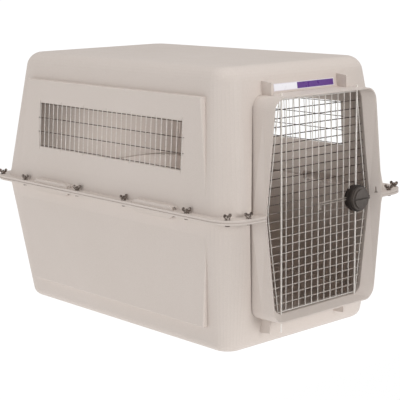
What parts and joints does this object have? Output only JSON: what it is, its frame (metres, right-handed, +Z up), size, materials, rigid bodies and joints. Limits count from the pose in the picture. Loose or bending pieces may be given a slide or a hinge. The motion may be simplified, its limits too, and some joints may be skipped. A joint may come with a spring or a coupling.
{
  "type": "moulded pet kennel",
  "caption": "Two-shell moulded plastic pet kennel with wire side vents, bolted flanges and a hinged wire door with a dial latch.",
  "frame": {"origin": "middle of the floor's underside, under the middle of the whole object's box", "axes": "+Z up, -Y out through the door, +X to the right as one faces the door"},
  "size_m": [0.825, 1.248, 0.876],
  "materials": {
    "shell": "moulded with a pebble grain",
    "wire": "zinc plated wire",
    "rod": "zinc plated rod",
    "latch": "dark moulded plastic",
    "gear": "natural acetal",
    "hardware": "dark brown coating",
    "label": "blank glossy sticker"
  },
  "bodies": {
    "kennel": {"lower_shell": "shell", "upper_shell": "shell", "left_vent_uprights": "wire", "left_vent_crosswires": "wire", "right_vent_uprights": "wire", "right_vent_crosswires": "wire", "flange_bolts": "hardware", "bolt_washers": "hardware", "wing_nuts": "hardware", "name_label": "label"},
    "door": {"door_uprights": "wire", "door_crosswires": "wire", "door_rim": "wire", "hinge_rod": "rod", "latch_guide_wire": "wire", "latch_housing": "latch", "latch_back_plate": "latch", "latch_screws": "hardware"},
    "dial": {"latch_dial": "latch", "latch_pinion": "gear", "dial_screw": "hardware"},
    "upper_rod": {"upper_latch_rod": "rod", "upper_rack": "gear"},
    "lower_rod": {"lower_latch_rod": "rod", "lower_rack": "gear"}
  },
  "joints": [
    {"name": "door_hinge", "type": "hinge", "parent": "kennel", "child": "door", "pos_m": [-0.171, -0.594, 0.435], "axis": [0, 0, -1], "range_deg": [0, 140]},
    {"name": "latch_turn", "type": "hinge", "parent": "door", "child": "dial", "pos_m": [0.171, -0.594, 0.435], "axis": [0, -1, 0], "range_deg": [0, 80], "stiffness_Nm_per_rad": 0.15, "springref_deg": -34.38},
    {"name": "upper_rod_slide", "type": "slide", "parent": "door", "child": "upper_rod", "axis": [0, 0, -1], "range_m": [0, 0.014]},
    {"name": "lower_rod_slide", "type": "slide", "parent": "door", "child": "lower_rod", "axis": [0, 0, 1], "range_m": [0, 0.014]}
  ],
  "couplings": [
    {"joint": "upper_rod_slide", "follows": "latch_turn", "m_per_rad": 0.01},
    {"joint": "lower_rod_slide", "follows": "latch_turn", "m_per_rad": 0.01}
  ]
}
